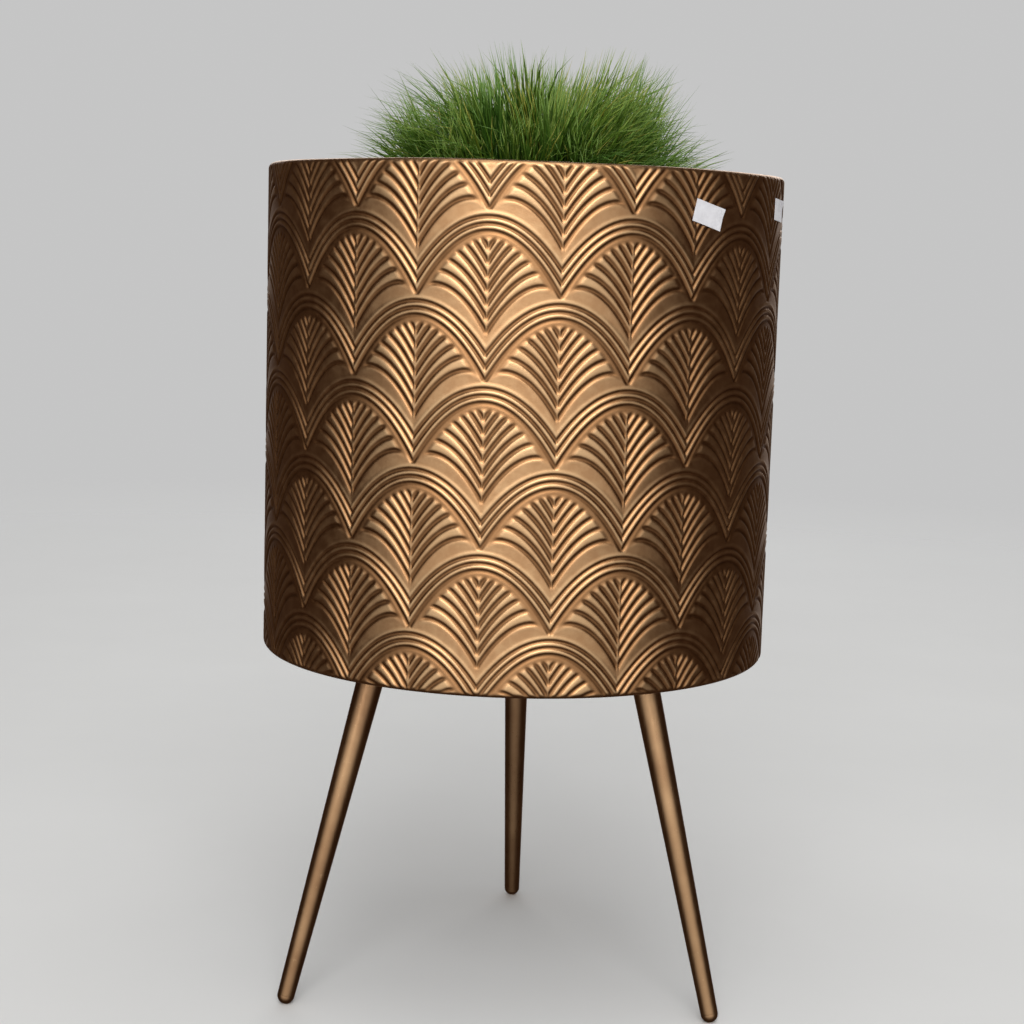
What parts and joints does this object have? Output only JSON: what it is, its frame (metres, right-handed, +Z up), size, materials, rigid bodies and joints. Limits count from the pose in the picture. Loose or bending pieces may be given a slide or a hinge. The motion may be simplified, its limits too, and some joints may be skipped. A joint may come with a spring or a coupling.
{
  "type": "tripod planter pot",
  "caption": "Cylindrical embossed brass planter pot on splayed tapered legs, holding a lift-out nursery pot of grass.",
  "frame": {"origin": "on the floor, under the centre of the pot", "axes": "+Z up along the pot's axis, front towards -Y between the two front legs, back leg towards +Y, +X to the right"},
  "size_m": [0.2992, 0.2992, 0.559],
  "materials": {
    "embossed_brass": "satin",
    "pan_brass": "satin",
    "leg_bronze": "satin",
    "rivet_brass": "satin",
    "mount_steel": "satin",
    "zinc_steel": "satin",
    "steel_wire": "satin",
    "label_paper": "matte",
    "nursery_plastic": "matte",
    "growing_medium": "matte",
    "grass": "matte"
  },
  "bodies": {
    "planter": {"planter_shell": "embossed_brass", "rim_wire": "steel_wire", "base_pan": "pan_brass", "price_label_front": "label_paper", "price_label_side": "label_paper", "leg_mount_left": "mount_steel", "leg_tube_left": "leg_bronze", "foot_tip_left": "leg_bronze", "leg_insert_left": "zinc_steel", "leg_stud_left": "zinc_steel", "lock_washer_left": "zinc_steel", "mount_rivet_left_1": "rivet_brass", "mount_rivet_left_2": "rivet_brass", "mount_rivet_left_3": "rivet_brass", "leg_mount_right": "mount_steel", "leg_tube_right": "leg_bronze", "foot_tip_right": "leg_bronze", "leg_insert_right": "zinc_steel", "leg_stud_right": "zinc_steel", "lock_washer_right": "zinc_steel", "mount_rivet_right_1": "rivet_brass", "mount_rivet_right_2": "rivet_brass", "mount_rivet_right_3": "rivet_brass", "leg_mount_back": "mount_steel", "leg_tube_back": "leg_bronze", "foot_tip_back": "leg_bronze", "leg_insert_back": "zinc_steel", "leg_stud_back": "zinc_steel", "lock_washer_back": "zinc_steel", "mount_rivet_back_1": "rivet_brass", "mount_rivet_back_2": "rivet_brass", "mount_rivet_back_3": "rivet_brass"},
    "plant_insert": {"nursery_pot": "nursery_plastic", "growing_medium": "growing_medium", "grass_tuft": "grass"}
  },
  "joints": [
    {"name": "lift_out", "type": "slide", "parent": "planter", "child": "plant_insert", "axis": [0, 0, 1], "range_m": [0, 0.32]}
  ]
}
